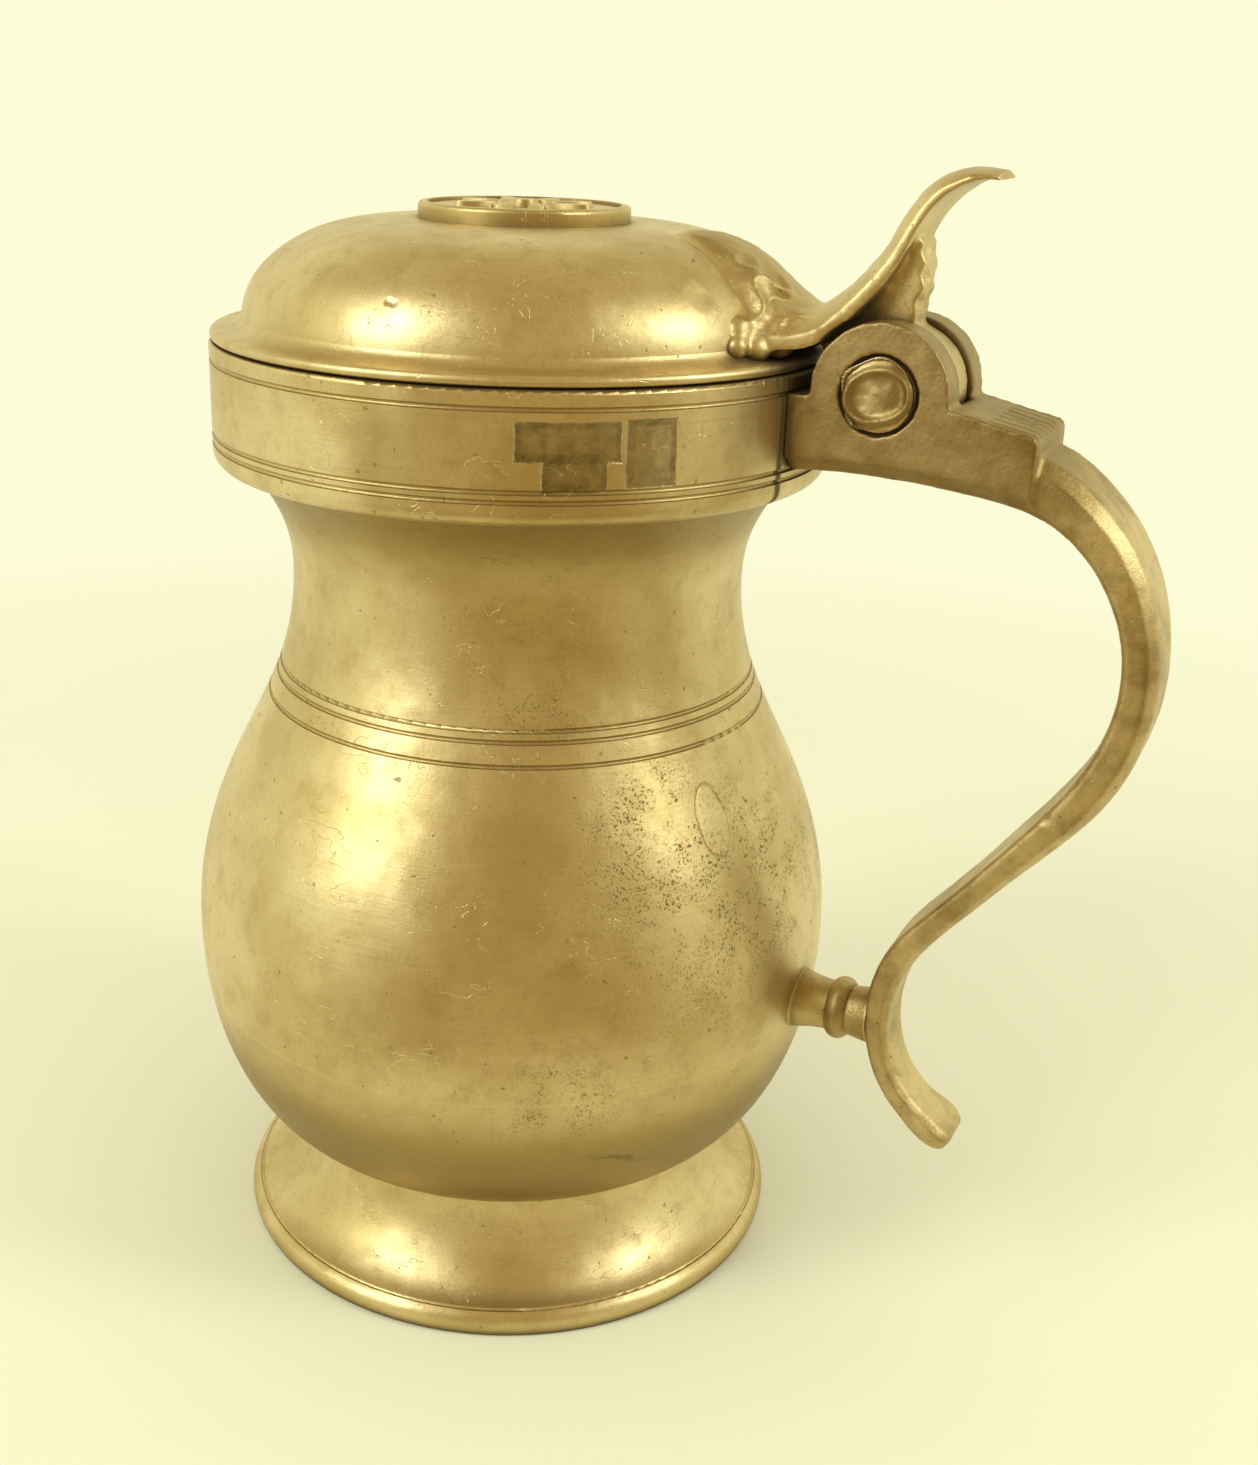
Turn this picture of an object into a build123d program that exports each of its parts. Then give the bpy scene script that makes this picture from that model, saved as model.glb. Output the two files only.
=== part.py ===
from build123d import *
import math
import os

# A lidded pewter measure of one gill: a baluster body on a flared foot, a domed lid on a pinned hinge,
# and a strap handle. Millimetres, +Z up, origin at the foot's centre on the table.
# The handle and the hinge lie along +X, and the lid turns about a pin parallel to Y.

# Walls, solder films and running clearances
wall = 1.9
lid_wall = 1.5
solder_gap = 0.02
lid_gap = 0.12
pin_clearance = 0.05
cheek_clearance = 0.15
knuckle_clearance = 0.25
ear_clearance = 0.6

# Foot: a flared skirt, hollow beneath, that ends in a rounded band
foot_rim_radius = 26.7
foot_rim_height = 2.3
foot_line_radius = 25.8
foot_toe = 0.3
foot_rest_width = 2.1
foot_skirt = 1.9
foot_seat_width = 3.1

# Body: a bowl, a shoulder that draws in to the neck, and a throat that flares to the collar
waist_radius = 20.3
waist_height = 11.5
belly_radius = 30.6
belly_height = 32.0
body_seam_height = 27.0
shoulder_radius = 25.8
shoulder_height = 50.0
neck_radius = 20.8
neck_height = 66.5
throat_radius = 24.7
throat_height = 76.4
throat_flare = 38

# Collar: the straight band round the mouth
collar_radius = 27.55
collar_wall = 2.35
collar_height = 10.7
collar_corner = 1.3
collar_step = 3.0
brim_round = 0.3

# Turned lines: groove size, and how far each line lies from the edge that it follows
line_depth = 0.22
foot_line_rise = 0.1
belly_line_heights = (57.9, 57.0, 55.1)
collar_line_inset = 1.45
collar_lower_lines = (2.1, 2.9)

# Lid: a flat flange, a dome and the raised disc on its crown
flange_radius = 27.45
flange_edge = 0.9
flange_rise = 1.9
dome_radius = 24.7
dome_height = 10.3
dome_shoulder_radius = 21.0
dome_shoulder_drop = 2.7
disc_radius = 9.3
disc_thickness = 1.35
disc_rim_width = 0.8
disc_rim_round = 0.35
disc_recess = 0.3
petal_count = 8
petal_length = 4.2
petal_width = 1.9
petal_height = 0.42
petal_circle = 4.3
boss_radius = 1.4
boss_height = 0.62
rosette_taper = 30

# Hinge: two ears on the handle, the lid's knuckle between them, and a pin that is plugged at both ends
hinge_x = 34.6
hinge_drop = 0.9
hinge_width = 10.6
knuckle_width = 3.8
ear_radius = 5.75
knuckle_radius = 5.4
pin_radius = 1.5
plug_radius = 3.2
plug_depth = 0.7
plug_proud = 0.4
plug_round = 0.32

# Handle block between the collar and the strap, measured from the hinge axis
ledge_drop = 0.5
block_underside = 6.75
block_front_drop = 0.35
block_end_drop = 1.4
block_end = 12.9
plateau_start = 6.0
plateau_drop = 0.55
plateau_fall = 1.9
plateau_corner = 0.5
block_bevel = 1.3
serration_count = 4
serration_pitch = 1.5
serration_length = 3.2
serration_size = 0.32

# Strap stations, from the block to the tail: along X and Z from the hinge axis, width, thickness
strap_stations = (
    (10.3, -5.5, 9.8, 3.6),
    (17.1, -8.5, 9.2, 3.7),
    (20.6, -13.1, 8.6, 3.2),
    (22.4, -19.1, 8.0, 2.9),
    (22.1, -25.0, 7.6, 3.1),
    (19.7, -31.1, 7.2, 3.2),
    (15.2, -37.2, 6.8, 2.7),
    (9.8, -43.9, 6.4, 2.3),
    (5.2, -50.4, 6.0, 2.5),
    (4.0, -56.6, 5.8, 2.1),
    (5.1, -61.4, 5.6, 2.0),
    (8.0, -65.1, 5.6, 2.1),
    (10.9, -67.0, 5.6, 1.9),
    (11.5, -67.4, 4.2, 1.4),
)
strap_bevel = 0.28
strap_bevel_spread = 1.3

# Strut that ties the strap to the belly, with a turned ring near its middle
strut_height = 28.9
strut_radius = 2.3
strut_root_radius = 3.0
strut_tip_radius = 2.7
strut_ring_radius = 2.9
strut_ring_width = 2.0
strut_ring_place = 0.5

# Thumbpiece stations, from the dome to the tip: along X and Z from the hinge axis, width, thickness
thumb_stations = (
    (-23.3, 10.1, 2.5, 0.9),
    (-20.3, 10.5, 5.0, 1.7),
    (-16.5, 10.1, 9.4, 2.4),
    (-13.9, 8.9, 12.4, 2.8),
    (-11.6, 7.1, 14.4, 3.0),
    (-9.4, 5.5, 14.2, 3.0),
    (-6.6, 4.7, 12.0, 3.0),
    (-3.6, 6.9, 9.4, 2.6),
    (-1.9, 8.9, 8.0, 2.4),
    (-0.6, 10.8, 7.3, 2.2),
    (0.6, 13.2, 6.9, 2.1),
    (2.0, 15.2, 6.8, 1.9),
    (4.1, 16.6, 6.8, 1.5),
    (7.3, 16.9, 5.2, 0.8),
)
thumb_edge = 0.4
rib_back = 2.1
rib_lean = 0.3
rib_foot = 8.3
rib_top = 11.6

# Places worked out from the sizes above
bore_radius = waist_radius - wall
brim_height = throat_height + collar_height
mouth_radius = collar_radius - collar_wall
lid_base = brim_height + lid_gap
hinge_z = brim_height - hinge_drop
slot_width = knuckle_width + 2 * cheek_clearance
hinge_plane = Plane(origin=(hinge_x, 0, hinge_z), x_dir=(1, 0, 0), z_dir=(0, -1, 0))


def radius_at(curve, height):
    """Radius of a rising profile curve at a height, both in the profile's own plane, found by halving."""
    low, high = 0.0, 1.0
    while high - low > 1e-6:
        middle = (low + high) / 2
        if curve.position_at(middle).Y < height:
            low = middle
        else:
            high = middle
    return curve.position_at(low).X


def turned_line(radius, height):
    """Section of one turned line, cut into the surface at this radius and height."""
    with BuildSketch(Plane.XZ) as line:
        with Locations((radius, height)):
            Circle(line_depth)
    return line.sketch


def strap_section(width, thickness, bevel):
    """Bevelled rectangle: the outer face has the larger bevel."""
    half, top = width / 2, thickness / 2
    outer, inner = bevel * thickness, bevel * thickness / 2
    flat_inset = strap_bevel_spread * outer
    return Polygon(
        (-half + inner, -top), (half - inner, -top), (half, -top + inner), (half, top - outer),
        (half - flat_inset, top), (-half + flat_inset, top), (-half, top - outer), (-half, -top + inner),
        align=None,
    )


def thumb_section(width, thickness):
    """Flat-backed section with a crowned face and short square edges."""
    half, edge_top = width / 2, (thumb_edge - 0.5) * thickness
    with BuildSketch(mode=Mode.PRIVATE) as section:
        with BuildLine():
            Polyline((-half, edge_top), (-half, -thickness / 2), (half, -thickness / 2), (half, edge_top))
            ThreePointArc((half, edge_top), (0, thickness / 2), (-half, edge_top))
        make_face()
    return section.sketch


def station_planes(stations):
    """Planes square to the path through the stations, with local x along the hinge pin."""
    centres = [Vector(hinge_x + x, 0, hinge_z + z) for x, z, _, _ in stations]
    before = [centres[0], *centres[:-1]]
    after = [*centres[1:], centres[-1]]
    return [
        Plane(origin=centre, x_dir=(0, 1, 0), z_dir=ahead - behind)
        for centre, behind, ahead in zip(centres, before, after)
    ]


# Foot
with BuildPart() as foot:
    with BuildSketch(Plane.XZ):
        with BuildLine():
            skirt = Spline(
                (waist_radius, waist_height),
                (foot_line_radius, foot_rim_height),
                tangents=((0.05, -1), (1, -0.3)),
                tangent_scalars=(1.2, 0.9),
            )
            band = ThreePointArc(
                skirt @ 1,
                (foot_rim_radius, foot_rim_height / 2),
                (foot_rim_radius - foot_toe, 0),
            )
            Polyline(
                band @ 1,
                (foot_rim_radius - foot_toe - foot_rest_width, 0),
                (foot_line_radius - foot_skirt, foot_rim_height - foot_skirt / 2),
            )
            Spline(
                (foot_line_radius - foot_skirt, foot_rim_height - foot_skirt / 2),
                (waist_radius - foot_seat_width, waist_height),
                tangents=((-1, 0.5), (0, 1)),
            )
            Line((waist_radius - foot_seat_width, waist_height), (waist_radius, waist_height))
        make_face()
    revolve(axis=Axis.Z)
    revolve(turned_line(foot_line_radius, foot_rim_height + foot_line_rise), axis=Axis.Z, mode=Mode.SUBTRACT)
foot.part.label = "foot"

# Floor disc inside the waist
with BuildPart() as base_plate:
    with BuildSketch(Plane.XY.offset(waist_height)):
        Circle(bore_radius - solder_gap)
    extrude(amount=wall)
base_plate.part.label = "base_plate"

# Half section of the whole body, which is cast in two halves
with BuildSketch(Plane.XZ) as body_section:
    with BuildLine():
        EllipticalCenterArc(
            (waist_radius, belly_height),
            belly_radius - waist_radius,
            belly_height - waist_height,
            start_angle=-90,
            arc_size=90,
        )
        shoulder = Spline(
            (belly_radius, belly_height),
            (shoulder_radius, shoulder_height),
            (neck_radius, neck_height),
            tangents=((0, 1), (0, 1)),
        )
        Spline(
            (neck_radius, neck_height),
            (throat_radius, throat_height),
            tangents=((0, 1), (math.sin(math.radians(throat_flare)), math.cos(math.radians(throat_flare)))),
        )
        Line((throat_radius, throat_height), (throat_radius - wall, throat_height))
        Spline(
            (throat_radius - wall, throat_height),
            (neck_radius - wall, neck_height),
            tangents=((-math.sin(math.radians(throat_flare)), -math.cos(math.radians(throat_flare))), (0, -1)),
        )
        Spline(
            (neck_radius - wall, neck_height),
            (shoulder_radius - wall, shoulder_height),
            (belly_radius - wall, belly_height),
            tangents=((0, -1), (0, -1)),
        )
        EllipticalCenterArc(
            (waist_radius, belly_height),
            belly_radius - waist_radius - wall,
            belly_height - waist_height - wall,
            start_angle=-90,
            arc_size=90,
        )
        Polyline(
            (waist_radius, waist_height + wall),
            (bore_radius, waist_height + wall),
            (bore_radius, waist_height),
            (waist_radius, waist_height),
        )
    make_face()
seam_plane = Plane.XY.offset(body_seam_height)

with BuildPart() as body_lower:
    revolve(body_section.sketch, axis=Axis.Z)
    split(bisect_by=seam_plane, keep=Keep.BOTTOM)
body_lower.part.label = "body_lower"

with BuildPart() as body_upper:
    revolve(body_section.sketch, axis=Axis.Z)
    split(bisect_by=seam_plane, keep=Keep.TOP)
    for height in belly_line_heights:
        revolve(turned_line(radius_at(shoulder, height), height), axis=Axis.Z, mode=Mode.SUBTRACT)
body_upper.part.label = "body_upper"

# Collar band, with its lower corner rounded and its bore stepped in to the throat
with BuildPart() as collar:
    with BuildSketch(Plane.XZ):
        with BuildLine():
            Polyline(
                (throat_radius - wall, throat_height),
                (collar_radius, throat_height),
                (collar_radius, brim_height),
                (mouth_radius, brim_height),
                (mouth_radius, throat_height + collar_step),
                close=True,
            )
        make_face()
    revolve(axis=Axis.Z)
    lower_corner = collar.edges().filter_by(GeomType.CIRCLE).group_by(Axis.Z)[0].sort_by(SortBy.RADIUS)[-1]
    fillet(lower_corner, collar_corner)
    brim_edges = collar.edges().filter_by(GeomType.CIRCLE).group_by(Axis.Z)[-1]
    fillet(brim_edges, brim_round)
    revolve(turned_line(collar_radius, brim_height - collar_line_inset), axis=Axis.Z, mode=Mode.SUBTRACT)
    for rise in collar_lower_lines:
        revolve(turned_line(collar_radius, throat_height + rise), axis=Axis.Z, mode=Mode.SUBTRACT)
collar.part.label = "collar"

# Handle: the block with its ears, and the strap that leaves it
with BuildPart() as handle:
    with BuildSketch(hinge_plane):
        with BuildLine():
            block_front = collar_radius - wall - hinge_x
            Polyline(
                (block_front, -block_underside - block_front_drop),
                (block_front, -ledge_drop),
                (plateau_start, -plateau_drop),
                (block_end - plateau_corner, -plateau_fall),
                (block_end, -plateau_fall - plateau_corner),
                (block_end, -block_underside - block_end_drop),
            )
            ThreePointArc(
                (block_end, -block_underside - block_end_drop),
                (0, -block_underside),
                (block_front, -block_underside - block_front_drop),
            )
        make_face()
    extrude(amount=hinge_width / 2, both=True)
    underside = handle.faces().sort_by(Axis.Z)[0]
    chamfer(underside.edges().filter_by(GeomType.CIRCLE), block_bevel)
    for side in (1, -1):
        with BuildSketch(hinge_plane.offset(side * slot_width / 2)):
            Circle(ear_radius)
        extrude(amount=side * (hinge_width - slot_width) / 2)
    Cylinder(collar_radius + solder_gap, 4 * brim_height, mode=Mode.SUBTRACT)
    with Locations(hinge_plane):
        Cylinder(knuckle_radius + knuckle_clearance, slot_width, mode=Mode.SUBTRACT)
        Cylinder(pin_radius + solder_gap, 2 * hinge_width, mode=Mode.SUBTRACT)
        with Locations((0, 0, hinge_width / 2), (0, 0, -hinge_width / 2)):
            Cylinder(plug_radius + solder_gap, 2 * plug_depth, mode=Mode.SUBTRACT)
    plateau_slope = math.degrees(math.atan2(plateau_fall - plateau_drop, block_end - plateau_start))
    serration_x = hinge_x + block_end - serration_length / 2
    serration_z = hinge_z - plateau_fall + serration_length / 2 * math.tan(math.radians(plateau_slope))
    with Locations(Location((serration_x, 0, serration_z), (0, plateau_slope, 0))):
        with GridLocations(1, serration_pitch, 1, serration_count):
            Box(serration_length, serration_size, 2 * serration_size, mode=Mode.SUBTRACT)
with BuildPart() as strap:
    for plane, (_, _, width, thickness) in zip(station_planes(strap_stations), strap_stations):
        with BuildSketch(plane):
            strap_section(width, thickness, strap_bevel)
    loft()
with BuildPart() as handle_whole:
    add(handle.part)
    add(strap.part)
handle_whole.part.label = "handle"

# Strut between the belly and the strap
with BuildPart() as handle_strut:
    strut_start = belly_radius - wall / 2
    strut_end = hinge_x + min(x for x, _, _, _ in strap_stations[-5:])
    strut_length = strut_end - belly_radius
    ring_x = belly_radius + strut_ring_place * strut_length
    with BuildSketch(Plane.XZ):
        with BuildLine():
            Polyline(
                (strut_end, strut_height + strut_tip_radius),
                (strut_end, strut_height),
                (strut_start, strut_height),
                (strut_start, strut_height + strut_root_radius),
            )
            Spline(
                (strut_start, strut_height + strut_root_radius),
                (ring_x - strut_ring_width / 2, strut_height + strut_radius),
                tangents=((1, -0.2), (1, 0)),
            )
            ThreePointArc(
                (ring_x - strut_ring_width / 2, strut_height + strut_radius),
                (ring_x, strut_height + strut_ring_radius),
                (ring_x + strut_ring_width / 2, strut_height + strut_radius),
            )
            Line(
                (ring_x + strut_ring_width / 2, strut_height + strut_radius),
                (strut_end, strut_height + strut_tip_radius),
            )
        make_face()
    revolve(axis=Axis((0, 0, strut_height), (1, 0, 0)))
    add(body_lower.part, mode=Mode.SUBTRACT)
    add(body_upper.part, mode=Mode.SUBTRACT)
    add(handle_whole.part, mode=Mode.SUBTRACT)
handle_strut.part.label = "handle_strut"

# Hinge pin and the two plugs that close its bore
with BuildPart() as hinge_pin:
    with BuildSketch(hinge_plane):
        Circle(pin_radius)
    extrude(amount=hinge_width / 2 - plug_depth, both=True)
hinge_pin.part.label = "hinge_pin"

hinge_plugs = {}
for name, side in (("hinge_plug_near", 1), ("hinge_plug_far", -1)):
    with BuildPart() as plug:
        with BuildSketch(hinge_plane.offset(side * (hinge_width / 2 - plug_depth))):
            Circle(plug_radius)
        extrude(amount=side * (plug_depth + plug_proud))
        outer_face = plug.faces().sort_by(Axis.Y)[0 if side > 0 else -1]
        fillet(outer_face.edges(), plug_round)
    plug.part.label = name
    hinge_plugs[name] = plug.part

# Lid: flange and dome, one hollow casting
dome_base = lid_base + flange_rise
crown = lid_base + dome_height
with BuildSketch(Plane.XZ) as lid_outline:
    with BuildLine():
        rim = Polyline((0, lid_base), (flange_radius - flange_edge / 2, lid_base))
        edge = ThreePointArc(
            rim @ 1,
            (flange_radius, lid_base + flange_edge / 2),
            (flange_radius - flange_edge / 2, lid_base + flange_edge),
        )
        Spline(edge @ 1, (dome_radius, dome_base), tangents=((-1, 0.05), (-0.35, 1)))
        dome_curve = Spline(
            (dome_radius, dome_base),
            (dome_shoulder_radius, crown - dome_shoulder_drop),
            (disc_radius, crown),
            tangents=((-0.12, 1), (-1, 0)),
        )
        Polyline(dome_curve @ 1, (0, crown), (0, lid_base))
    make_face()
with BuildSketch(Plane.XZ) as lid_hollow:
    with BuildLine():
        inner_curve = Spline(
            (dome_radius - lid_wall, lid_base),
            (dome_shoulder_radius - lid_wall, crown - dome_shoulder_drop - 0.75 * lid_wall),
            (disc_radius, crown - lid_wall),
            tangents=((-0.12, 1), (-1, 0)),
        )
        Polyline(inner_curve @ 1, (0, crown - lid_wall), (0, lid_base), inner_curve @ 0)
    make_face()
with BuildPart() as lid_shell:
    revolve(lid_outline.sketch, axis=Axis.Z)
    revolve(lid_hollow.sketch, axis=Axis.Z, mode=Mode.SUBTRACT)
lid_shell.part.label = "lid_shell"

# Crown disc: a raised rim round a plain eight-petal rosette
with BuildPart() as lid_disc:
    with BuildSketch(Plane.XY.offset(crown)):
        Circle(disc_radius)
    extrude(amount=disc_thickness)
    rim_edge = lid_disc.edges().group_by(Axis.Z)[-1]
    fillet(rim_edge, disc_rim_round)
    field = crown + disc_thickness - disc_recess
    with BuildSketch(Plane.XY.offset(field)):
        Circle(disc_radius - disc_rim_width)
    extrude(amount=disc_recess, mode=Mode.SUBTRACT)
    with BuildSketch(Plane.XY.offset(field)):
        with PolarLocations(petal_circle, petal_count):
            Ellipse(petal_length / 2, petal_width / 2)
    extrude(amount=petal_height, taper=rosette_taper)
    with BuildSketch(Plane.XY.offset(field)):
        Circle(boss_radius)
    extrude(amount=boss_height, taper=rosette_taper)
lid_disc.part.label = "lid_disc"

# Thumbpiece: it grows out of the dome, carries the knuckle and curls back over the hinge
with BuildPart() as thumbpiece:
    for plane, (_, _, width, thickness) in zip(station_planes(thumb_stations), thumb_stations):
        with BuildSketch(plane):
            add(thumb_section(width, thickness))
    loft()
    with BuildSketch(hinge_plane):
        with BuildLine():
            Polyline(
                (0, 0),
                (-knuckle_radius, 0.15 * knuckle_radius),
                *(station[:2] for station in thumb_stations[6:11]),
                (rib_back - rib_lean, rib_top),
                (rib_back, rib_foot),
                (0.25 * knuckle_radius, 0.9 * knuckle_radius),
                close=True,
            )
        make_face()
    extrude(amount=knuckle_width / 2, both=True)
    with Locations(hinge_plane):
        Cylinder(knuckle_radius, knuckle_width)
        Cylinder(pin_radius + pin_clearance, 2 * hinge_width, mode=Mode.SUBTRACT)
        ear_place = (knuckle_width + hinge_width) / 2
        with Locations((0, 0, ear_place), (0, 0, -ear_place)):
            Cylinder(ear_radius + ear_clearance, hinge_width, mode=Mode.SUBTRACT)
    revolve(lid_outline.sketch, axis=Axis.Z, mode=Mode.SUBTRACT)
thumbpiece.part.label = "thumbpiece"

os.makedirs("parts", exist_ok=True)
export_step(foot.part, "parts/foot.step")
export_step(base_plate.part, "parts/base_plate.step")
export_step(body_lower.part, "parts/body_lower.step")
export_step(body_upper.part, "parts/body_upper.step")
export_step(collar.part, "parts/collar.step")
export_step(handle_whole.part, "parts/handle.step")
export_step(handle_strut.part, "parts/handle_strut.step")
export_step(hinge_pin.part, "parts/hinge_pin.step")
for name, part in hinge_plugs.items():
    export_step(part, f"parts/{name}.step")
export_step(lid_shell.part, "parts/lid_shell.step")
export_step(lid_disc.part, "parts/lid_disc.step")
export_step(thumbpiece.part, "parts/thumbpiece.step")
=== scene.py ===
# %% [markdown]
# A lidded pewter measure.
# The real vessel is cast in leaded pewter, skimmed on a lathe and soldered together.
# Its solids are loaded first, and every later cell dresses them or puts a worn copy over them.

import math

import bmesh
import bpy
from mathutils import Matrix, Vector, noise


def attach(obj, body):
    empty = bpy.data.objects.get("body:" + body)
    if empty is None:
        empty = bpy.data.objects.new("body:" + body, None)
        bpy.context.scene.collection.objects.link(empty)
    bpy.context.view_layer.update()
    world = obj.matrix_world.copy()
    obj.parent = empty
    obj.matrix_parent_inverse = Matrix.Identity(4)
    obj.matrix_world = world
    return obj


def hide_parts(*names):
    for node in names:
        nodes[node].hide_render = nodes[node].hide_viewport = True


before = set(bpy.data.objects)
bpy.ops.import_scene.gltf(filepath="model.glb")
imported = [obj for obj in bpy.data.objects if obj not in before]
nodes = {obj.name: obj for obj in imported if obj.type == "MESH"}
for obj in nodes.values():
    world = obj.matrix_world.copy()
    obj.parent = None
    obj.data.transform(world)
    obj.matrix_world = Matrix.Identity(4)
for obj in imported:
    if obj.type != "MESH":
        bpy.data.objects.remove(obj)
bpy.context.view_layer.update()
MM = 0.001
print("solids:", sorted(nodes))

# %% [markdown]
# A finish is a tree of shader nodes, which is slow to wire by hand.
# It could be wired link by link, but sums are easier to read as Python.
# A Field is one output socket that can be added and multiplied, and each operator adds a Math node.

# %% Sockets as numbers
class Field:
    """One output socket of a finish, which works in sums."""

    def __init__(self, finish, socket):
        self.finish, self.socket = finish, socket

    def do(self, operation, *others):
        sockets = dict(enumerate([self, *others]))
        return self.finish.node("ShaderNodeMath", {"operation": operation}, sockets)

    def __add__(self, other):
        return self.do("ADD", other)

    def __mul__(self, other):
        return self.do("MULTIPLY", other)

    def __sub__(self, other):
        return self.do("SUBTRACT", other)

    def __truediv__(self, other):
        return self.do("DIVIDE", other)

    def __rsub__(self, other):
        return self * -1 + other

    __radd__, __rmul__ = __add__, __mul__


# %% [markdown]
# Every other kind of node comes from one method, so that each recipe is a list of short lines.
# Settings go in before the sockets, since some settings change which sockets a node has.

# %% A finish and its nodes
class Finish:
    """A material, or the world, under construction."""

    def __init__(self, block):
        self.block = block
        block.use_nodes = True
        self.tree = block.node_tree
        self.tree.nodes.clear()

    def node(self, kind, settings=None, sockets=None, output=0):
        made = self.tree.nodes.new(kind)
        for key, value in (settings or {}).items():
            setattr(made, key, value)
        for key, value in (sockets or {}).items():
            if isinstance(value, Field):
                self.tree.links.new(value.socket, made.inputs[key])
            else:
                made.inputs[key].default_value = value
        return None if output is None else Field(self, made.outputs[output])

    def ease(self, value, low, high):
        """0 at low, 1 at high, with a soft start and end."""
        span = {"Value": value, "From Min": low, "From Max": high}
        return self.node("ShaderNodeMapRange", {"interpolation_type": "SMOOTHSTEP"}, span)

    def noise(self, where, scale, detail=4.0, roughness=0.55, distortion=0.0):
        """Soft random lumps, about 1/scale across."""
        sockets = {"Vector": where, "Scale": scale, "Detail": detail}
        sockets |= {"Roughness": roughness, "Distortion": distortion}
        return self.node("ShaderNodeTexNoise", {}, sockets)

    def blend(self, amount, under, over):
        """A colour between two others."""
        sockets = {0: amount, 6: under, 7: over}
        return self.node("ShaderNodeMix", {"data_type": "RGBA"}, sockets, output=2)

    def vector(self, x, y, z):
        return self.node("ShaderNodeCombineXYZ", {}, {0: x, 1: y, 2: z})

    def near(self, place, point, reach):
        """1 at a point on the object, 0 from reach millimetres away."""
        ends = {0: place, 1: point}
        away = self.node("ShaderNodeVectorMath", {"operation": "DISTANCE"}, ends, output=1)
        return self.ease(away, reach, 0.0)

    def openness(self, reach, samples, inside=False):
        """1 on open metal, less in a corner, or at an edge when it looks inside the metal."""
        settings, sockets = {"samples": samples, "inside": inside}, {"Distance": reach * MM}
        return self.node("ShaderNodeAmbientOcclusion", settings, sockets, output="AO")

    def ray(self, kind):
        """1 for one kind of ray."""
        return self.node("ShaderNodeLightPath", output=f"Is {kind} Ray")

    def close(self, surface, kind="ShaderNodeOutputMaterial"):
        """Joins the finished surface to the output."""
        self.node(kind, {}, {"Surface": surface}, output=None)
        return self.block


# %% [markdown]
# Old pewter is a warm brownish yellow where hands have rubbed it, and browner where they have not.
# Corners are darkened, partly as dirt and solder flux and partly as painted shade, and each edge is
# worn a little brighter, more on cast pieces, where it is partly a painted highlight.
# These could be painted by hand, but the corners and edges can be found from the shape itself.

# %% Pewter colours
BRIGHT = (0.76, 0.610, 0.330, 1)
PLAIN = (0.61, 0.465, 0.215, 1)
PATINA_AND_SHADE = (0.42, 0.290, 0.100, 1)
DEEP = (0.24, 0.150, 0.042, 1)
OCHRE = (0.44, 0.29, 0.080, 1)
GRIME_AND_SHADE = (0.060, 0.040, 0.017, 1)
PIT = (0.085, 0.058, 0.026, 1)
print("pewter colours:", BRIGHT[:3], PLAIN[:3], PATINA_AND_SHADE[:3])

# %% [markdown]
# Marks that belong to one place are given in millimetres from the centre of the foot.
# Each dent has a point, a reach and a depth, and each speckled patch has a point and a reach.

# %% Where the marks are
DENTS = [
    ((-0.3, -23.9, 93.3), 0.45, 0.07),
    ((0.2, -23.7, 93.0), 0.50, 0.12),
    ((0.7, -23.5, 92.7), 0.55, 0.14),
    ((1.2, -23.3, 92.4), 0.50, 0.12),
    ((1.7, -23.1, 92.1), 0.45, 0.07),
    ((18.0, -22.8, 42.2), 0.7, 0.05),
    ((14.0, -23.5, 46.8), 0.6, 0.04),
    ((27.7, -12.7, 35.4), 0.9, 0.08),
    ((27.5, -11.5, 37.8), 0.6, 0.06),
    ((20.6, -9.2, 93.0), 1.8, 0.25),
    ((51.2, -3.3, 52.8), 0.9, 0.15),
]
SPECKLES = [
    ((26.0, -13.0, 42.0), 18.0),
    ((22.0, -17.0, 50.0), 11.0),
    ((29.0, -6.0, 44.0), 12.0),
    ((11.7, -18.0, 60.5), 9.0),
    ((17.0, -24.0, 26.0), 9.0),
    ((28.0, 9.0, 41.0), 13.0),
    ((-20.0, 18.0, 40.0), 14.0),
]
print(len(DENTS), "dents,", len(SPECKLES), "speckled patches")

# %% [markdown]
# The pewter recipe mixes clouds of colour, turned lines, pits, scratches, dirt with painted shade,
# and worn edges with a painted highlight on cast pieces.
# A lathe leaves fine rings, so their texture is read from radius and height, and hardly from angle.
# Heights are in millimetres and feed one Bump node, which keeps them true to size.
# The marks and painted shade of one piece come from a function of its own, given as extra.
# It changes the colour and the height, and adds dirt and painted shade.

# %% The pewter recipe
PAINTED_BORDER_SHADE_ABOVE = 0.3


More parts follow.
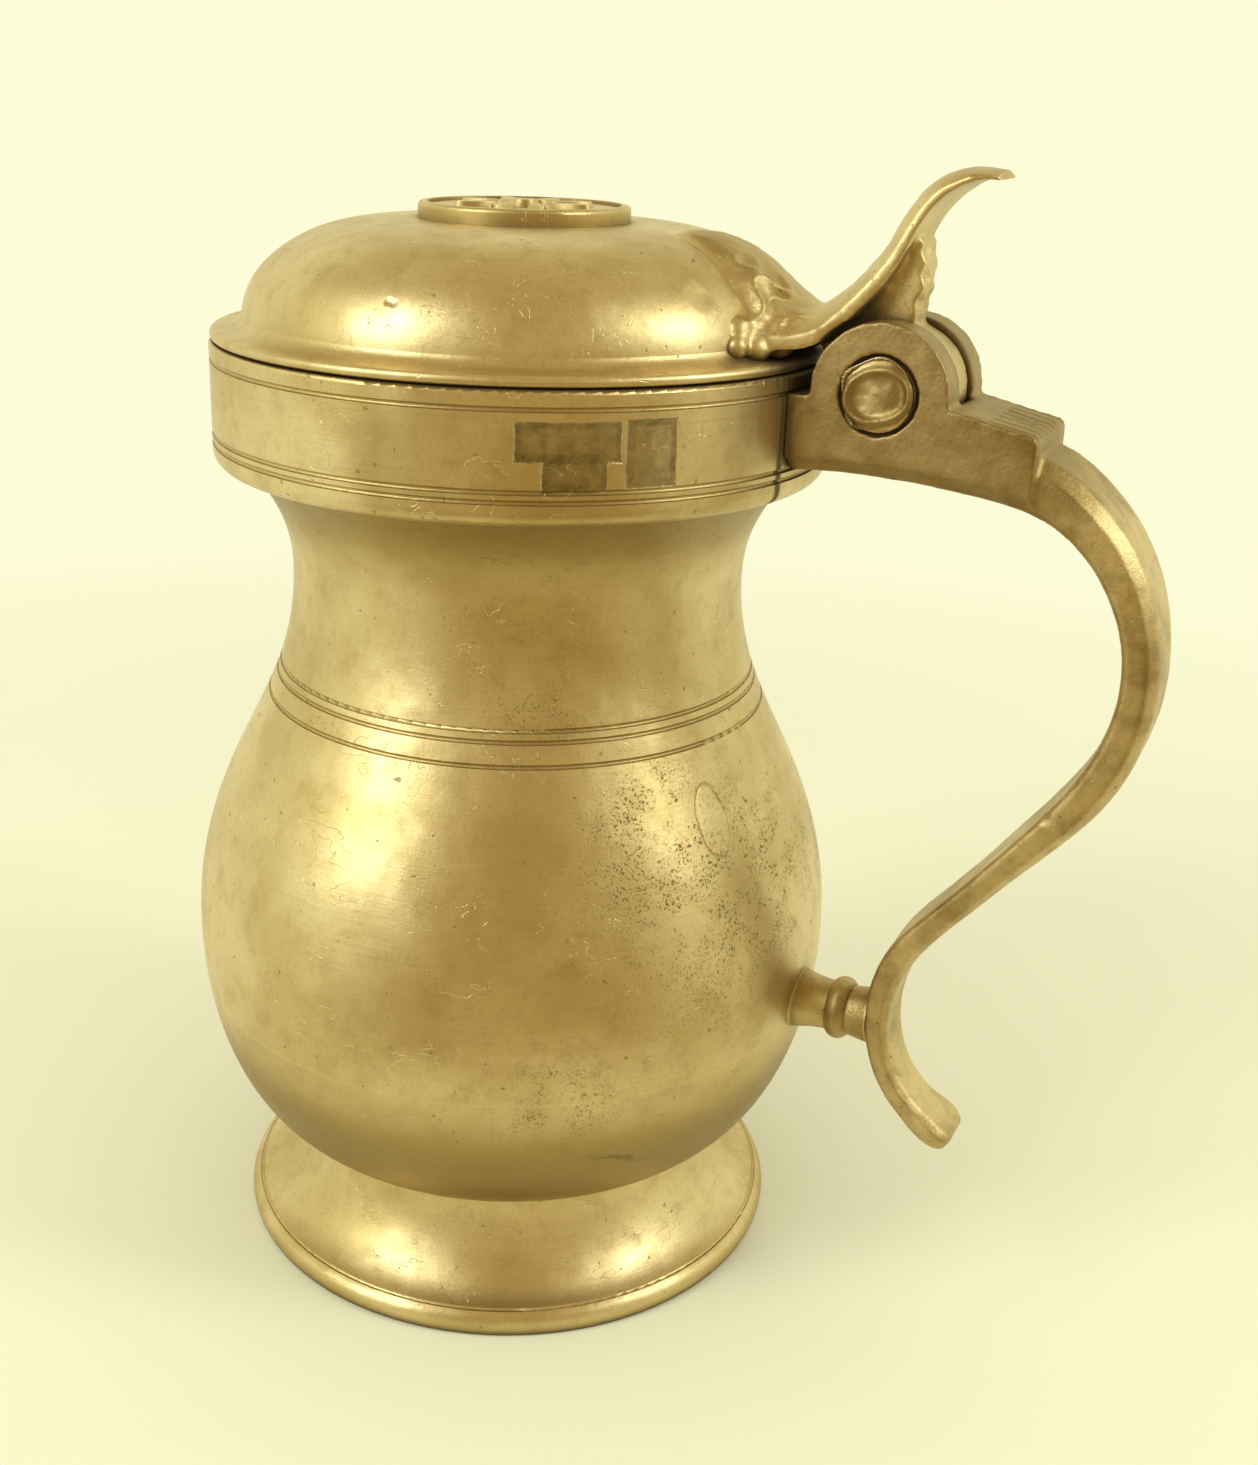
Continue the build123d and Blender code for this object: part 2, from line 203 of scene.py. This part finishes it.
def pewter(name, turned=1.0, cast=0.0, deep=0.0, extra=None):
    """A worn finish, with the strengths of its lathe lines, casting lumps and browning; strong
    browning adds painted shade along the borders.
    """
    f = Finish(bpy.data.materials.new(name))
    raw = f.node("ShaderNodeTexCoord", output="Object")
    place = f.node("ShaderNodeVectorMath", {"operation": "SCALE"}, {0: raw, "Scale": 1 / MM})
    x, y, z = (f.node("ShaderNodeSeparateXYZ", {}, {0: place}, output=axis) for axis in "XYZ")
    radius = (x * x + y * y).do("SQRT")
    turn = y.do("ARCTAN2", x)

    clouds = f.noise(place, 0.075, 3.0)
    mottle = f.noise(place, 0.42, 6.0, 0.62)
    grit = f.noise(place, 3.2, 4.0, 0.65)
    rings = f.noise(f.vector(radius, z, turn * 0.7), 2.6, 6.0, 0.70)
    colour = f.blend(f.ease(clouds, 0.34, 0.64), PLAIN, BRIGHT)
    colour = f.blend(f.ease(mottle, 0.44, 0.78) * 0.42, colour, PATINA_AND_SHADE)
    colour = f.blend(f.ease(grit, 0.50, 0.66) * 0.22, colour, PATINA_AND_SHADE)
    colour = f.blend(f.ease(rings, 0.52, 0.70) * (0.16 * turned), colour, PATINA_AND_SHADE)
    if deep:
        colour = f.blend(f.ease(clouds * 0.7 + mottle, 1.06, 0.58) * deep, colour, DEEP)
    height = clouds * 0.35 + mottle * (0.02 + 0.08 * cast)
    height = height + rings * (0.014 * turned) + grit * (0.010 + 0.012 * cast)

    everywhere = f.ease(clouds, 0.62, 0.80) * 0.4
    patch = sum((f.near(place, point, reach) for point, reach in SPECKLES), everywhere)
    crowd = f.ease(mottle + f.noise(place, 0.16, 2.0) * 0.6, 0.64, 0.90) * patch
    pits = f.ease(f.noise(place, 3.7, 2.0, 0.6), 0.54, 0.63) * crowd
    stray = f.ease(f.noise(place, 1.3, 1.0), 0.735, 0.775)
    pits = (pits + stray * 0.7).do("MINIMUM", 1.0)
    colour = f.blend(pits * 0.60, colour, PIT)
    height = height - pits * 0.012

    hair = f.noise(f.vector(turn * 9.0, z * 0.55, radius * 0.8), 0.9, 2.0, 0.5, 0.4)
    scratched = f.ease(f.noise(place, 0.21, 1.0), 0.50, 0.62)
    scratches = f.ease((hair - 0.5).do("ABSOLUTE"), 0.006, 0.0) * scratched
    colour = f.blend(scratches * 0.35, colour, BRIGHT)
    height = height - scratches * 0.02
    for point, reach, depth in DENTS:
        height = height - f.near(place, point, reach) * depth

    # Painted shade, with dirt: corners found by ambient occlusion are darkened below.
    corner = f.openness(2.6, 6)
    dirt_and_shade = f.ease(corner + mottle * 0.24, 0.82, 0.42)
    colour = f.blend(f.ease(corner + mottle * 0.3, 1.05, 0.72) * 0.6, colour, OCHRE)
    if extra:
        colour, height, more_dirt_and_shade = extra(f, place, (x, y, z, radius, turn, mottle), colour, height)
        dirt_and_shade = (dirt_and_shade + more_dirt_and_shade).do("MINIMUM", 1.0)
    colour = f.blend(dirt_and_shade * 0.85, colour, GRIME_AND_SHADE)
    inner = f.openness(0.5, 4, inside=True)
    # Painted shade: strongly browned pieces are darkened along their borders, beside the bevels.
    if deep > PAINTED_BORDER_SHADE_ABOVE:
        border = f.ease(f.openness(1.5, 4, inside=True) + mottle * 0.35, 1.02, 0.66)
        colour = f.blend(border * (0.3 + deep * 0.6), colour, DEEP)
    # Worn edges are brighter; the extra brightening on cast pieces is a painted highlight.
    edges = f.ease(inner, 0.72, 0.40) * (1 - dirt_and_shade)
    colour = f.blend(edges * (0.55 + 0.25 * cast), colour, BRIGHT)

    rough = 0.28 + mottle * 0.16 + pits * 0.25 + dirt_and_shade * 0.30 + (0.05 + 0.08 * cast)
    rough = rough - edges * 0.06
    normal = f.node("ShaderNodeBump", {}, {"Strength": 1.0, "Distance": MM, "Height": height})
    sockets = {"Base Color": colour, "Metallic": 1 - dirt_and_shade * 0.35}
    sockets |= {"Roughness": rough, "Normal": normal}
    return f.close(f.node("ShaderNodeBsdfPrincipled", {}, sockets))


# Painted shade: the borders of these pieces are darkened.
print("pieces browned above", PAINTED_BORDER_SHADE_ABOVE, "are browner along their borders too")

# %% [markdown]
# The collar carries punched marks, as measures do once they have been tested.
# They are left blank here: a wide one with a small one under it, and an upright one beside them.
# A punch could be cut into the mesh, but it is a tenth of a millimetre deep, so a bump is enough.
# A punch is given as its angle round the collar, half width, height and half height.

# %% The collar's punches and its seam
PUNCHES = [(-0.951, 4.1, 83.2, 1.5), (-0.930, 2.5, 80.7, 1.3), (-0.707, 2.0, 82.2, 2.6)]
COLLAR_RADIUS = 27.55
SEAM_HALF_WIDTH = 5.75


def collar_marks_and_shade(f, place, parts, colour, height):
    x, y, z, radius, turn, mottle = parts
    sunk = inner = 0.0
    for angle, half_width, level, half_height in PUNCHES:
        across = ((turn - angle) * COLLAR_RADIUS).do("ABSOLUTE") - half_width
        up = (z - level).do("ABSOLUTE") - half_height
        edge = across.do("MAXIMUM", up) + mottle * 0.5
        sunk = f.ease(edge, 0.42, 0.22).do("MAXIMUM", sunk)
        inner = f.ease(edge, -0.05, -0.45).do("MAXIMUM", inner)
    outside = f.ease(radius, 27.2, 27.4)
    worn = f.noise(place, 0.7, 4.0, 0.7)
    dark = (sunk * (0.62 - inner * 0.14) * (worn * 2.0 - 0.15) * outside).do("MINIMUM", 1.0)
    colour = f.blend(dark, colour, GRIME_AND_SHADE)
    height = height - (sunk * 0.12 - inner * 0.05 * worn) * outside
    nick = f.ease(f.noise(f.vector(turn * 24.0, z * 0.3, 0.0), 1.0, 1.0), 0.66, 0.74)
    nick = nick * f.ease(z, 85.9, 86.7)
    height = height - nick * 0.18
    rub = f.ease(f.noise(f.vector(turn * 3.0, z * 0.05, 4.0), 1.0, 2.0), 0.50, 0.70) * 0.35
    colour = f.blend(rub, colour, PATINA_AND_SHADE)
    # Painted shadow in the gap where the handle's block meets the collar.
    seam = f.ease((y.do("ABSOLUTE") - SEAM_HALF_WIDTH).do("ABSOLUTE"), 0.60, 0.15)
    seam = seam * f.ease(x, 20.0, 22.0)
    return colour, height, seam * 0.95 + nick * 0.3


print(len(PUNCHES), "blank punches")

# %% [markdown]
# The belly has a pale oval scar where something once rested on it, with a darker outline.
# Below it runs a hairline crack. Both are drawn from distances in millimetres.
# The colour is darker under the collar and low on the belly: painted shade under the collar, and a
# painted dark reflection low down.

# %% The belly's scar, crack and painted shade
SCAR_TURN, SCAR_HEIGHT = -0.37, 49.0
SCAR_HALF_WIDTH, SCAR_HALF_HEIGHT = 1.75, 3.0
RADIUS_AT_SCAR = 26.3
CRACK_TURN, CRACK_HEIGHT, CRACK_SLOPE = -0.735, 19.6, 10.0
CRACK_MIDDLE, CRACK_REACH = (21.3, -19.2, 19.9), 4.2


def belly_marks_and_shade(f, place, parts, colour, height):
    x, y, z, radius, turn, mottle = parts
    across = ((turn - SCAR_TURN) * RADIUS_AT_SCAR).do("ABSOLUTE") / SCAR_HALF_WIDTH
    up = (z - SCAR_HEIGHT).do("ABSOLUTE") / SCAR_HALF_HEIGHT
    away = (across * across + up * up).do("SQRT") + mottle * 0.30
    colour = f.blend(f.ease(away, 1.15, 0.95) * 0.55, colour, BRIGHT)
    line = f.ease((away - 1.14).do("ABSOLUTE"), 0.09, 0.0) * f.ease(x, 15.0, 18.0)
    colour = f.blend(line * 0.7, colour, PATINA_AND_SHADE)
    track = (z - CRACK_HEIGHT) + (turn - CRACK_TURN) * CRACK_SLOPE
    track = track + (f.noise(place, 0.7, 3.0) - 0.5) * 2.4
    crack = f.ease(track.do("ABSOLUTE"), 0.34, 0.10) * f.near(place, CRACK_MIDDLE, CRACK_REACH)
    colour = f.blend(crack * 0.8, colour, PIT)
    # Painted shade under the collar, and a painted dark reflection low on the belly.
    darkened = f.ease(z, 28.5, 21.0) * 0.90 + f.ease(z, 68.0, 73.5) * 0.8
    colour = f.blend(darkened.do("MINIMUM", 0.9), colour, PATINA_AND_SHADE)
    shaded = f.ease(z, 24.5, 19.0) * 0.50 + f.ease(z, 71.0, 75.0) * 0.45
    colour = f.blend(shaded, colour, DEEP)
    return colour, height - line * 0.03 - crack * 0.06, crack * 0.3


print("scar at", SCAR_HEIGHT, "mm, crack at", CRACK_HEIGHT, "mm above the table")

# %% [markdown]
# The handle is a casting that was filed, not turned.
# Its seam with the collar is darkened as a painted shadow, and its block is darkened with painted
# shade.
# The slits between the ears and the knuckle are darkened too.

# %% The handle's seam, slits and painted shade
SLIT_FROM_MIDDLE = 2.1


def handle_marks_and_shade(f, place, parts, colour, height):
    x, y, z, radius, turn, mottle = parts
    # Painted shadow in the seam against the collar; the slits are darkened.
    seam = f.ease(radius + mottle * 0.6, 28.75, 28.15) * 0.95
    slit = f.ease((y.do("ABSOLUTE") - SLIT_FROM_MIDDLE).do("ABSOLUTE"), 0.5, 0.1)
    slit = slit * f.ease(x, 41.5, 39.0) * f.ease(z, 84.0, 85.0)
    # Painted shade: the block is darkened.
    block = f.ease(x, 51.0, 46.0) * f.ease(z, 72.0, 76.0) * 0.50
    colour = f.blend(block, colour, DEEP)
    return colour, height, seam + slit * 0.6


FINISHES = {
    "turned": pewter("pewter_turned"),
    "belly": pewter("pewter_belly", extra=belly_marks_and_shade),
    "collar": pewter("pewter_collar", extra=collar_marks_and_shade),
    "lid": pewter("pewter_lid", turned=0.6),
    "cast": pewter("pewter_cast", turned=0.0, cast=1.0, deep=0.62, extra=handle_marks_and_shade),
    "thumb": pewter("pewter_thumb", turned=0.0, cast=0.6, deep=0.28),
    "plug": pewter("pewter_plug_hammered", turned=0.0, cast=0.8, deep=0.65),
}
print("finishes:", sorted(FINISHES))

# %% [markdown]
# The lathe work keeps its CAD solids, because their shape is already right.
# Each one takes the finish that belongs to its place.

# %% Dress the turned pieces
DRESS = {
    "foot": "turned",
    "base_plate": "turned",
    "body_lower": "belly",
    "body_upper": "belly",
    "collar": "collar",
    "lid_shell": "lid",
    "lid_disc": "lid",
    "handle": "cast",
    "handle_strut": "cast",
    "hinge_pin": "cast",
    "thumbpiece": "thumb",
    "hinge_plug_near": "plug",
    "hinge_plug_far": "plug",
}
for node, finish in DRESS.items():
    nodes[node].data.materials.clear()
    nodes[node].data.materials.append(FINISHES[finish])
print("dressed:", len(DRESS))

# %% [markdown]
# Castings that were filed by hand have no crisp edges, so these pieces get a worn copy.
# A bevel could soften them, but it fails where faces meet at odd angles.
# A voxel remesh gives an even skin, and smoothing that skin rounds every edge alike.

# %% Worn copies
def worn_copy(node, body, finish, grain, softening, shift, lumps=()):
    """A remeshed copy of a solid, with each point moved by shift(point, normal), in millimetres.

    Each lump is a centre and a radius, and the remesh joins it to the solid."""
    mesh = nodes[node].data.copy()
    work = bmesh.new()
    work.from_mesh(mesh)
    for centre, reach in lumps:
        place = Matrix.Translation(Vector(centre) * MM)
        bmesh.ops.create_icosphere(work, subdivisions=3, radius=reach * MM, matrix=place)
    work.to_mesh(mesh)
    work.free()
    piece = bpy.data.objects.new(node + "_worn", mesh)
    bpy.context.scene.collection.objects.link(piece)
    remesh = piece.modifiers.new("even_skin", "REMESH")
    remesh.mode, remesh.voxel_size = "VOXEL", grain * MM
    smooth = piece.modifiers.new("soft_edges", "SMOOTH")
    smooth.factor, smooth.iterations = 0.5, softening
    skinned = piece.evaluated_get(bpy.context.evaluated_depsgraph_get())
    mesh = bpy.data.meshes.new_from_object(skinned)
    piece.modifiers.clear()
    piece.data = mesh
    moved = [v.co + shift(v.co / MM, v.normal) * MM for v in mesh.vertices]
    for vertex, co in zip(mesh.vertices, moved):
        vertex.co = co
    mesh.materials.clear()
    mesh.materials.append(FINISHES[finish])
    mesh.polygons.foreach_set("use_smooth", [True] * len(mesh.polygons))
    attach(piece, body)
    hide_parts(node)
    print(piece.name, len(mesh.polygons), "faces")
    return piece


# %% [markdown]
# The handle's skin is slightly uneven, as hand filing leaves it.
# Faint cuts from a file cross the end of the plateau.

# %% The handle
CUT_SPACING, CUT_DEPTH = 1.5, 0.12


def handle_shift(p, n):
    lumps = noise.noise(p * 0.30) * 0.04 + noise.noise(p * 0.9) * 0.02
    plateau = 43.5 < p.x < 47.6 and p.z > 83.0 and n.z > 0.6
    wave = max(0.0, math.cos(p.y * 2 * math.pi / CUT_SPACING))
    cuts = CUT_DEPTH * wave ** 3 if plateau else 0.0
    return n * (min(lumps, 0.02) - 0.03 - cuts)


worn_copy("handle", "vessel", "cast", 0.24, 2, handle_shift)

# %% [markdown]
# The thumbpiece was soldered to the dome, and a later repair left a rough scab on its root.
# The scab could be a separate patch, but solder flows into the metal beside it.
# So the copy's own skin is pushed into folds, strongest on the near side of the root.
# Its border sinks into the dome, and the rib's back edge is ragged where metal has broken off.
# Lumps of solder fill the corner between the root, the dome and the flange.
# They stay outside the middle of the dome's wall, so that the open lid is clean inside.

# %% The thumbpiece
ROOT_HALF_WIDTH = [
    (11.3, 1.25),
    (14.3, 2.5),
    (18.1, 4.7),
    (20.7, 6.2),
    (23.0, 7.2),
    (25.2, 7.1),
    (28.0, 6.0),
    (31.0, 4.7),
]
SCAB_MIDDLE = Vector((23.5, -4.5, 92.5))
DOME_MIDDLE = Vector((0, 0, 80))
DEEPEST_SINK = 1.3
HALF_LUMPS = [
    ((25.2, 3.0, 90.3), 1.8),
    ((24.7, 5.2, 90.4), 1.8),
    ((23.9, 7.0, 90.6), 1.6),
    ((26.2, 4.4, 89.5), 1.2),
    ((25.5, 6.4, 89.5), 1.3),
    ((24.5, 8.2, 89.7), 1.1),
]
SOLDER = [((25.4, 0, 90.2), 1.8)]
for side in (-1, 1):
    SOLDER += [((x, y * side, z), reach) for (x, y, z), reach in HALF_LUMPS]
print(len(SOLDER), "lumps of solder")


def smooth(value, low, high):
    t = min(max((value - low) / (high - low), 0.0), 1.0)
    return t * t * (3 - 2 * t)


def thumb_shift(p, n):
    lumps = noise.noise(p * 0.35) * 0.10 + noise.noise(p * 1.1) * 0.04
    scab = smooth((p - SCAB_MIDDLE).length, 6.0, 1.0) * (1.0 - 0.6 * smooth(-p.y, 5.0, 7.0))
    fold = 1.0 - abs(noise.noise(p * 0.33 + Vector((7, 3, 1)))) * 4.5
    scab = scab * (0.60 * max(fold, -0.7) + 0.04 * noise.noise(p * 1.5))
    out = n * (min(lumps, 0.03) - 0.03 + scab)
    if p.x < 29.0:
        half = 1.2
        for (x0, h0), (x1, h1) in zip(ROOT_HALF_WIDTH, ROOT_HALF_WIDTH[1:]):
            if x0 <= p.x:
                half = h0 + (h1 - h0) * min((p.x - x0) / (x1 - x0), 1.0)
        sink = 1.25 * smooth(abs(p.y) / half, 0.45, 1.0) + 0.9 * smooth(p.x, 17.0, 11.5)
        sink = min(sink, DEEPEST_SINK) * smooth(p.x, 29.5, 26.5)
        if p.z < 91.5:
            middle_of_wall = 24.1 - (p.z - 88.5) * 0.36
            sink = min(sink, max(0.0, math.hypot(p.x, p.y) - middle_of_wall))
        out = out + (DOME_MIDDLE - p).normalized() * sink
    rib = smooth(p.x, 34.8, 35.8) * smooth(p.z, 91.5, 94.0) * smooth(p.z, 99.5, 97.0)
    return out + Vector((-1, 0, 0)) * rib * max(0.0, 0.15 + 0.5 * noise.noise(p * 0.8))


worn_copy("thumbpiece", "lid", "thumb", 0.22, 6, thumb_shift, SOLDER)

# %% [markdown]
# Each end of the pin is closed with soft metal, hammered over until it filled the hole.
# Its outline is not round and its face is dented, with a thin fold left round the edge.

# %% The plugs
HINGE_X, HINGE_Z = 34.6, 86.2
FOLD_RADIUS, FOLD_WIDTH = 2.3, 0.35


def plug_shift(side):
    def shift(p, n):
        east, up = p.x - HINGE_X, p.z - HINGE_Z
        angle, reach = math.atan2(up, east), math.hypot(east, up)
        if abs(n.y) < 0.5:
            spot = Vector((math.cos(angle), math.sin(angle), side)) * 1.3
            return n * (-0.30 - 0.55 * noise.noise(spot))
        off_fold = reach - FOLD_RADIUS - 0.3 * math.sin(angle * 2 + side)
        fold = math.exp(-((off_fold / FOLD_WIDTH) ** 2))
        dents = 0.20 * noise.noise(p * 0.55) + 0.05 * noise.noise(p * 1.7)
        return n * (-0.36 + 0.34 * fold + dents)

    return shift


worn_copy("hinge_plug_near", "vessel", "plug", 0.12, 3, plug_shift(1))
worn_copy("hinge_plug_far", "vessel", "plug", 0.12, 3, plug_shift(-1))

# %% [markdown]
# The floor is a plain pale sheet that keeps the object's shadow.
# A curved backdrop would do, but it would show its edge from other sides.
# Instead the floor fades with distance into the same cream as the world behind it.
# The room behind the viewer is warm and dim, and metal needs that contrast to look round,
# so reflections see the floor and the world darken on that side, at its fixed place in the room.

# %% The floor
CREAM = (0.98, 0.98, 0.68, 1)
ROOM = (0.45, 0.310, 0.085, 1)
VIEWER = math.radians(33)
HALF_FLOOR, FLOOR_DROP = 4, 0.00005
floor = Finish(bpy.data.materials.new("pale_floor"))


def shown(finish):
    """1 for rays that should see the background: from the camera, or bounced by metal or glass."""
    seen = finish.ray("Camera").do("MAXIMUM", finish.ray("Glossy"))
    return seen.do("MAXIMUM", finish.ray("Transmission"))


def room_side(finish, east, north):
    """1 on the side of the room behind the viewer, 0 round the sides and the back."""
    level = (east * east + north * north).do("SQRT") + 0.001
    facing = (east * math.sin(VIEWER) - north * math.cos(VIEWER)) / level
    return finish.ease(facing, 0.30, 0.86)


spot = floor.node("ShaderNodeTexCoord", output="Object")
far = floor.node("ShaderNodeVectorMath", {"operation": "LENGTH"}, {0: spot}, output=1)
matt = floor.node("ShaderNodeBsdfDiffuse", {}, {"Color": (0.90, 0.88, 0.62, 1)})
east, north = (floor.node("ShaderNodeSeparateXYZ", {}, {0: spot}, output=axis) for axis in "XY")
camera_ray = floor.ray("Camera")
shade = floor.blend(room_side(floor, east, north) * (1 - camera_ray), CREAM, ROOM)
glow = floor.node("ShaderNodeEmission", {}, {"Color": shade, "Strength": 1.0})
fade = floor.ease(far, 0.10, 0.30) * camera_ray
fade = fade + floor.ease(far, 0.035, 0.11) * (1 - camera_ray)
share = {0: fade * shown(floor), 1: matt, 2: glow}
floor_finish = floor.close(floor.node("ShaderNodeMixShader", {}, share))
sheet = bpy.data.meshes.new("floor")
corners = [(HALF_FLOOR * x, HALF_FLOOR * y, 0) for x, y in ((-1, -1), (1, -1), (1, 1), (-1, 1))]
sheet.from_pydata(corners, [], [(0, 1, 2, 3)])
sheet.materials.append(floor_finish)
ground = bpy.data.objects.new("floor", sheet)
bpy.context.scene.collection.objects.link(ground)
ground.location.z = -FLOOR_DROP
print("floor", [round(d, 2) for d in ground.dimensions], "m")

# %% [markdown]
# The world is the same cream all round for the camera.
# A picture of a room could light it, but two plain colours with a soft border are enough.
# Reflections see the dim side of the room, and a dim ceiling.

# %% The world
world = Finish(bpy.data.worlds.new("studio"))
bpy.context.scene.world = world.block
way = world.node("ShaderNodeTexCoord", output="Generated")
east, north, up = (world.node("ShaderNodeSeparateXYZ", {}, {0: way}, output=axis) for axis in "XYZ")
dim = room_side(world, east, north) * (0.78 + world.ease(up, 0.3, 0.7) * 0.3)
dim = (dim + world.ease(up, 0.50, 0.92) * 0.8).do("MINIMUM", 1.0)
backdrop = world.blend(dim * (1 - world.ray("Camera")), CREAM, ROOM)
behind = world.node("ShaderNodeBackground", {}, {"Color": backdrop, "Strength": 1.0})
plain = world.node("ShaderNodeBackground", {}, {"Color": (1.0, 0.97, 0.86, 1), "Strength": 0.80})
share = {0: shown(world), 1: plain, 2: behind}
world.close(world.node("ShaderNodeMixShader", {}, share), "ShaderNodeOutputWorld")
print("world:", world.block.name)

# %% [markdown]
# Two tall soft windows stand left and right of the viewer, and their reflections shape the metal.
# A lamp's place is given by its bearing round the object, its elevation and its distance.

# %% Lamps
def window(name, bearing, elevation, distance, width, height, power, target=(0, 0, 0.055)):
    a, e = math.radians(bearing), math.radians(elevation)
    back = Vector((math.sin(a) * math.cos(e), -math.cos(a) * math.cos(e), math.sin(e)))
    lamp = bpy.data.lights.new(name, "AREA")
    lamp.shape, lamp.size, lamp.size_y = "RECTANGLE", width, height
    lamp.energy, lamp.color = power, (0.90, 1.0, 0.98)
    holder = bpy.data.objects.new(name, lamp)
    bpy.context.scene.collection.objects.link(holder)
    holder.location = Vector(target) + back * distance
    holder.rotation_euler = (-back).to_track_quat("-Z", "Y").to_euler()
    print(name, "power", power)


window("window_left", -30, 32, 0.50, 0.16, 0.34, 1.0)
window("window_right", 95, 34, 0.50, 0.14, 0.26, 0.70)

# %% [markdown]
# The camera looks down a little from the handle's side, close enough to show perspective.
# Its lens, shift, yaw, tilt and roll come from the ellipses of the rims.
# Its distance out and its height are counted in radii of the lid's rim.

# %% Camera
RIM, BEARING = 0.0274, math.radians(28)
OUT, UP = 5.7226, 3.9669
YAW, TILT, ROLL = 0.040028, 0.345545, 0.029881
LENS, SHIFT = 42.478, (0.03224, -0.01744)
eye = Vector((OUT * math.sin(BEARING), -OUT * math.cos(BEARING), UP)) * RIM
level_aim = Matrix.Rotation(BEARING - YAW, 4, "Z")
aim = level_aim @ Matrix.Rotation(math.pi / 2 - TILT, 4, "X")
camera = bpy.data.objects.new("camera", bpy.data.cameras.new("camera"))
bpy.context.scene.collection.objects.link(camera)
camera.matrix_world = Matrix.Translation(eye) @ aim @ Matrix.Rotation(ROLL, 4, "Z")
camera.data.sensor_fit, camera.data.sensor_height = "VERTICAL", 36
camera.data.lens = LENS
camera.data.shift_x, camera.data.shift_y = SHIFT
camera.data.clip_start, camera.data.clip_end = 0.005, 20
bpy.context.scene.camera = camera
bpy.context.scene.view_settings.view_transform = "Standard"
print("camera at", [round(c, 4) for c in eye])
